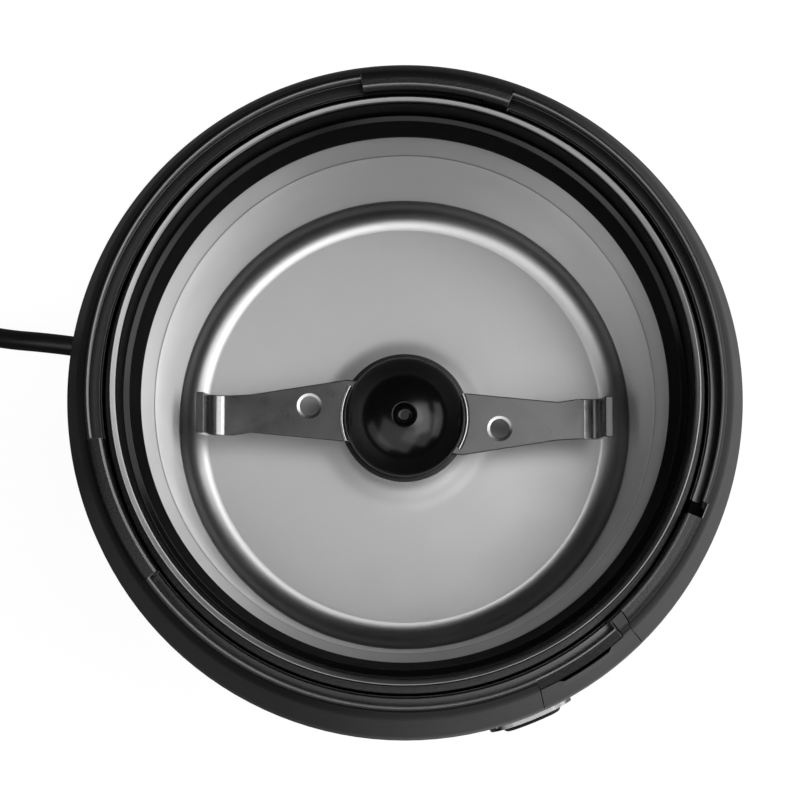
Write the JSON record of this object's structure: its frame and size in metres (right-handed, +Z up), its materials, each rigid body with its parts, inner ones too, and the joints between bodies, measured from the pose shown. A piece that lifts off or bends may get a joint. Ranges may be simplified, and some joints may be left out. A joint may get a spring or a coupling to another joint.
{
  "type": "electric spice grinder",
  "caption": "Blade spice grinder with its lid off: round black housing, bayonet rim, steel bowl with a spinning two-arm blade, pulse button, lid interlock, motor and mains cord.",
  "frame": {"origin": "on the standing surface, under the rotor's axis", "axes": "+Z up along the rotor's axis; +X to the right and -Y to the front, where the pulse button is; the cord leaves towards -X"},
  "size_m": [0.2621, 0.0962, 0.12],
  "materials": {
    "body_plastic": "fine spark-eroded texture",
    "gloss_plastic": "polished",
    "bowl_steel": "satin spun",
    "blade_steel": "polished",
    "chrome_trim": "bright",
    "rubber": "matte",
    "cord_pvc": "satin PVC",
    "plated_steel": "zinc plated",
    "bracket_aluminium": "die cast",
    "lamination_steel": "varnished laminations",
    "copper": "varnished copper",
    "brass": "bright",
    "bronze": "sintered, oiled",
    "carbon": "pressed carbon",
    "washer_fibre": "moulded",
    "fan_plastic": "moulded",
    "switch_plastic": "moulded",
    "plunger_plastic": "moulded",
    "capacitor_plastic": "moulded"
  },
  "bodies": {
    "housing": {"base_cover": "body_plastic", "base_screws": "plated_steel", "body_shell": "body_plastic", "bowl": "bowl_steel", "bowl_gasket": "rubber", "bowl_holder": "body_plastic", "brush_holders": "brass", "brush_springs": "plated_steel", "button_bezel": "chrome_trim", "carbon_brushes": "carbon", "clamp_screws": "plated_steel", "collar": "gloss_plastic", "cord_clamp": "washer_fibre", "cord_coil": "cord_pvc", "cord_inner": "cord_pvc", "cord_lead": "cord_pvc", "cord_tail": "cord_pvc", "field_coils": "copper", "holder_screws": "plated_steel", "interlock_spring": "plated_steel", "interlock_switch": "switch_plastic", "lock_cover": "body_plastic", "lower_bearing": "bronze", "lower_bracket": "bracket_aluminium", "motor_mounts": "rubber", "motor_screws": "plated_steel", "mount_screws": "plated_steel", "plug_body": "cord_pvc", "plug_pins": "brass", "pulse_switch": "switch_plastic", "rubber_feet": "rubber", "shaft_seal": "rubber", "stator_core": "lamination_steel", "strain_relief": "rubber", "suppression_capacitor": "capacitor_plastic", "terminal_block": "switch_plastic", "top_ring": "body_plastic", "trim_ring": "chrome_trim", "upper_bearing": "bronze", "upper_bracket": "bracket_aluminium"},
    "rotor": {"motor_shaft": "plated_steel", "armature_core": "lamination_steel", "armature_winding": "copper", "commutator": "copper", "cooling_fan": "fan_plastic", "thrust_washers": "washer_fibre", "drive_hub": "gloss_plastic", "blade": "blade_steel", "hub_insert": "brass", "hub_cap": "gloss_plastic"},
    "pulse_button": {"pulse_button": "body_plastic", "button_carrier": "body_plastic"},
    "pulse_plunger": {"pulse_plunger": "plunger_plastic"},
    "interlock_pin": {"interlock_pin": "gloss_plastic"},
    "interlock_plunger": {"interlock_plunger": "plunger_plastic"}
  },
  "joints": [
    {"name": "rotor_spin", "type": "hinge", "parent": "housing", "child": "rotor", "pos_m": [0, 0, 0.0355], "axis": [0, 0, 1], "continuous": true},
    {"name": "button_press", "type": "slide", "parent": "housing", "child": "pulse_button", "axis": [-0.3762, 0.9265, 0], "range_m": [0, 0.002], "stiffness_N_per_m": 900, "springref_m": -0.0015},
    {"name": "pulse_plunger_press", "type": "slide", "parent": "housing", "child": "pulse_plunger", "axis": [-0.3762, 0.9265, 0], "range_m": [0, 0.001]},
    {"name": "interlock_press", "type": "slide", "parent": "housing", "child": "interlock_pin", "axis": [0, 0, -1], "range_m": [0, 0.003], "stiffness_N_per_m": 250, "springref_m": -0.002, "deforming": ["interlock_spring"]},
    {"name": "interlock_plunger_press", "type": "slide", "parent": "housing", "child": "interlock_plunger", "axis": [0, 0, -1], "range_m": [0, 0.001]}
  ],
  "couplings": [
    {"joint": "pulse_plunger_press", "follows": "button_press", "ratio": 0.5},
    {"joint": "interlock_plunger_press", "follows": "interlock_press", "ratio": 0.33333}
  ]
}
